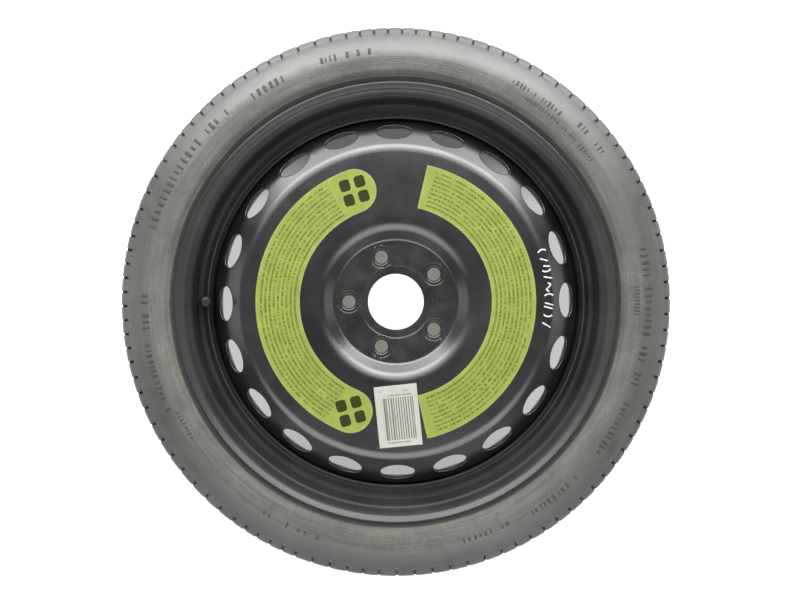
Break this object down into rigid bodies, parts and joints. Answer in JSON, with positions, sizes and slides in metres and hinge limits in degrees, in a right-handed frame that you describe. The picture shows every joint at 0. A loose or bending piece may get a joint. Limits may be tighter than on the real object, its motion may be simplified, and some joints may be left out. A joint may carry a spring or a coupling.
{
  "type": "spare wheel",
  "caption": "Narrow space-saver spare wheel: a thin tyre on a black pressed steel wheel with a vented disc, a bolt circle, a snap-in valve and coloured stickers.",
  "frame": {"origin": "centre of the hub bore, in the plane of the disc's back face that meets the hub", "axes": "+Z along the axle axis, towards the outer (vented) face; the wheel lies flat on its inner sidewall, with the valve on the -X side"},
  "size_m": [0.6576, 0.6576, 0.1274],
  "materials": {
    "tyre_rubber": "dusty matt rubber",
    "black_paint": "glossy black paint, lightly dusty",
    "painted_weld": "painted, rippled",
    "valve_rubber": "satin",
    "valve_brass": "turned",
    "gasket_red": "satin",
    "spring_steel": "drawn wire",
    "cap_plastic": "satin",
    "lime_film": "satin film with rows of small dark dashes",
    "white_label": "coated paper with plain bars"
  },
  "bodies": {
    "wheel": {"tyre": "tyre_rubber", "rim": "black_paint", "disc": "black_paint", "weld_beads": "painted_weld", "valve_body": "valve_rubber", "valve_insert": "valve_brass", "core_plug": "valve_brass", "core_barrel": "valve_brass", "core_gasket": "gasket_red", "core_spring": "spring_steel", "sticker_left": "lime_film", "sticker_right": "lime_film", "barcode_label": "white_label"},
    "valve_pin": {"core_pin": "valve_brass", "core_plunger": "valve_brass", "core_plunger_seal": "valve_rubber"},
    "cap_seal": {"valve_cap_seal": "gasket_red"},
    "cap": {"valve_cap": "cap_plastic"}
  },
  "joints": [
    {"name": "pin_press", "type": "slide", "parent": "wheel", "child": "valve_pin", "axis": [-0.2756, 0, -0.9613], "range_m": [0, 0.0012], "stiffness_N_per_m": 600, "deforming": ["core_spring"]},
    {"name": "cap_rise", "type": "slide", "parent": "wheel", "child": "cap_seal", "axis": [0.2756, 0, 0.9613], "range_m": [0, 0.00953]},
    {"name": "cap_turn", "type": "hinge", "parent": "cap_seal", "child": "cap", "pos_m": [-0.23, 0, -0.0086], "axis": [0.2756, 0, 0.9613], "range_deg": [0, 4320]}
  ],
  "couplings": [
    {"joint": "cap_turn", "follows": "cap_rise", "rad_per_m": 7915.8}
  ]
}
